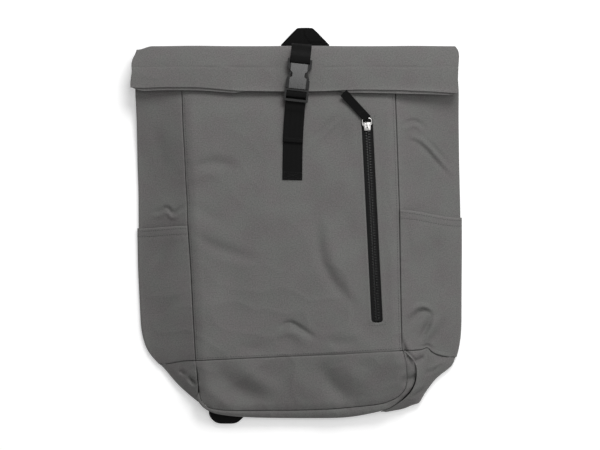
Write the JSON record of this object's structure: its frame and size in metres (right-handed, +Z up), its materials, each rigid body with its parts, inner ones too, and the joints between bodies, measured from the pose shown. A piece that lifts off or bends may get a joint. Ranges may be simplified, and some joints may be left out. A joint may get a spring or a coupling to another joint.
{
  "type": "roll-top daypack",
  "caption": "Roll-top daypack lying closed on its back: buckled roll, slanted front zip, open side pockets, padded straps with ladder locks, haul loop.",
  "frame": {"origin": "on the surface the pack lies on, under the middle of its bounding box", "axes": "+X to the right of the front panel, +Y towards the haul loop, +Z up out of the front panel"},
  "size_m": [0.4146, 0.4974, 0.0532],
  "materials": {
    "grey_cloth": "matt woven polyester, mid grey",
    "back_cloth": "matt spacer mesh, black",
    "lining_cloth": "thin lining, dark grey",
    "foam": "closed-cell foam, not seen",
    "webbing": "black woven webbing",
    "zip_tape": "woven zip tape, black",
    "zip_teeth": "moulded teeth, black",
    "nickel": "nickel-plated",
    "buckle_plastic": "glossy black acetal"
  },
  "bodies": {
    "bag": {"front_panel": "grey_cloth", "front_band": "grey_cloth", "left_gusset": "grey_cloth", "left_gusset_band": "grey_cloth", "right_gusset": "grey_cloth", "right_gusset_band": "grey_cloth", "bottom_panel": "grey_cloth", "left_side_pocket": "grey_cloth", "right_side_pocket": "grey_cloth", "mouth_back_wall": "grey_cloth", "back_panel": "back_cloth", "back_foam": "foam", "back_lining": "lining_cloth", "laptop_sleeve": "lining_cloth", "zip_pocket_bag": "lining_cloth", "shoulder_strap_left": "back_cloth", "shoulder_strap_right": "back_cloth", "zip_tape_left": "zip_tape", "zip_tape_right": "zip_tape", "zip_teeth_left": "zip_teeth", "zip_teeth_right": "zip_teeth", "zip_top_stops": "zip_teeth", "zip_bottom_stop": "zip_teeth", "top_strap_root": "webbing", "front_strap": "webbing", "strap_bartack": "webbing", "haul_loop_legs": "webbing", "strap_webbing_left": "webbing", "strap_webbing_right": "webbing", "anchor_tab_left": "webbing", "anchor_tab_right": "webbing"},
    "zip_slider": {"zip_slider": "nickel"},
    "pull_ring": {"pull_ring": "nickel"},
    "pull_tape": {"pull_tape": "webbing"},
    "buckle_male": {"buckle_male": "buckle_plastic", "strap_loop": "webbing"},
    "latch_left": {"latch_arm_left": "buckle_plastic"},
    "latch_right": {"latch_arm_right": "buckle_plastic"},
    "roll_flap": {"mouth_flap_outer": "grey_cloth", "mouth_flap_inner": "grey_cloth", "top_strap": "webbing", "buckle_female": "buckle_plastic"},
    "haul_loop": {"haul_loop": "webbing"},
    "left_adjuster": {"ladder_lock_left": "buckle_plastic", "strap_tail_left": "webbing", "lock_keeper_left": "webbing"},
    "right_adjuster": {"ladder_lock_right": "buckle_plastic", "strap_tail_right": "webbing", "lock_keeper_right": "webbing"}
  },
  "joints": [
    {"name": "zip_slide", "type": "slide", "parent": "bag", "child": "zip_slider", "axis": [0.0506, -0.9987, 0], "range_m": [0, 0.235]},
    {"name": "ring_swing", "type": "hinge", "parent": "zip_slider", "child": "pull_ring", "pos_m": [0.08857, 0.12681, 0.04475], "axis": [-0.9987, -0.0506, 0], "range_deg": [-165, 0]},
    {"name": "tape_swing", "type": "hinge", "parent": "pull_ring", "child": "pull_tape", "pos_m": [0.08813, 0.1355, 0.04475], "axis": [0.9987, 0.0506, 0], "range_deg": [0, 120]},
    {"name": "buckle_release", "type": "slide", "parent": "bag", "child": "buckle_male", "axis": [-0.108, -0.9942, 0], "range_m": [0, 0.03], "deforming": ["latch_arm_left", "latch_arm_right"]},
    {"name": "latch_right", "type": "hinge", "parent": "buckle_male", "child": "latch_right", "pos_m": [0.01182, 0.16975, 0.0487], "axis": [0, 0, 1], "range_deg": [0, 7.5], "stiffness_Nm_per_rad": 0.02},
    {"name": "latch_left", "type": "hinge", "parent": "buckle_male", "child": "latch_left", "pos_m": [-0.00926, 0.17204, 0.0487], "axis": [0, 0, 1], "range_deg": [-7.5, 0], "stiffness_Nm_per_rad": 0.02},
    {"name": "roll_open", "type": "hinge", "parent": "bag", "child": "roll_flap", "pos_m": [0, 0.2298, 0.02175], "axis": [-1, 0, 0], "range_deg": [0, 135]},
    {"name": "haul_loop_lift", "type": "hinge", "parent": "bag", "child": "haul_loop", "pos_m": [0, 0.2287, 0.0047], "axis": [-1, 0, 0], "range_deg": [-80, 0]},
    {"name": "left_adjust", "type": "slide", "parent": "bag", "child": "left_adjuster", "axis": [0, -1, 0], "range_m": [0, 0.05]},
    {"name": "right_adjust", "type": "slide", "parent": "bag", "child": "right_adjuster", "axis": [0, -1, 0], "range_m": [0, 0.05]}
  ],
  "couplings": [
    {"joint": "latch_left", "follows": "latch_right", "ratio": -1}
  ]
}
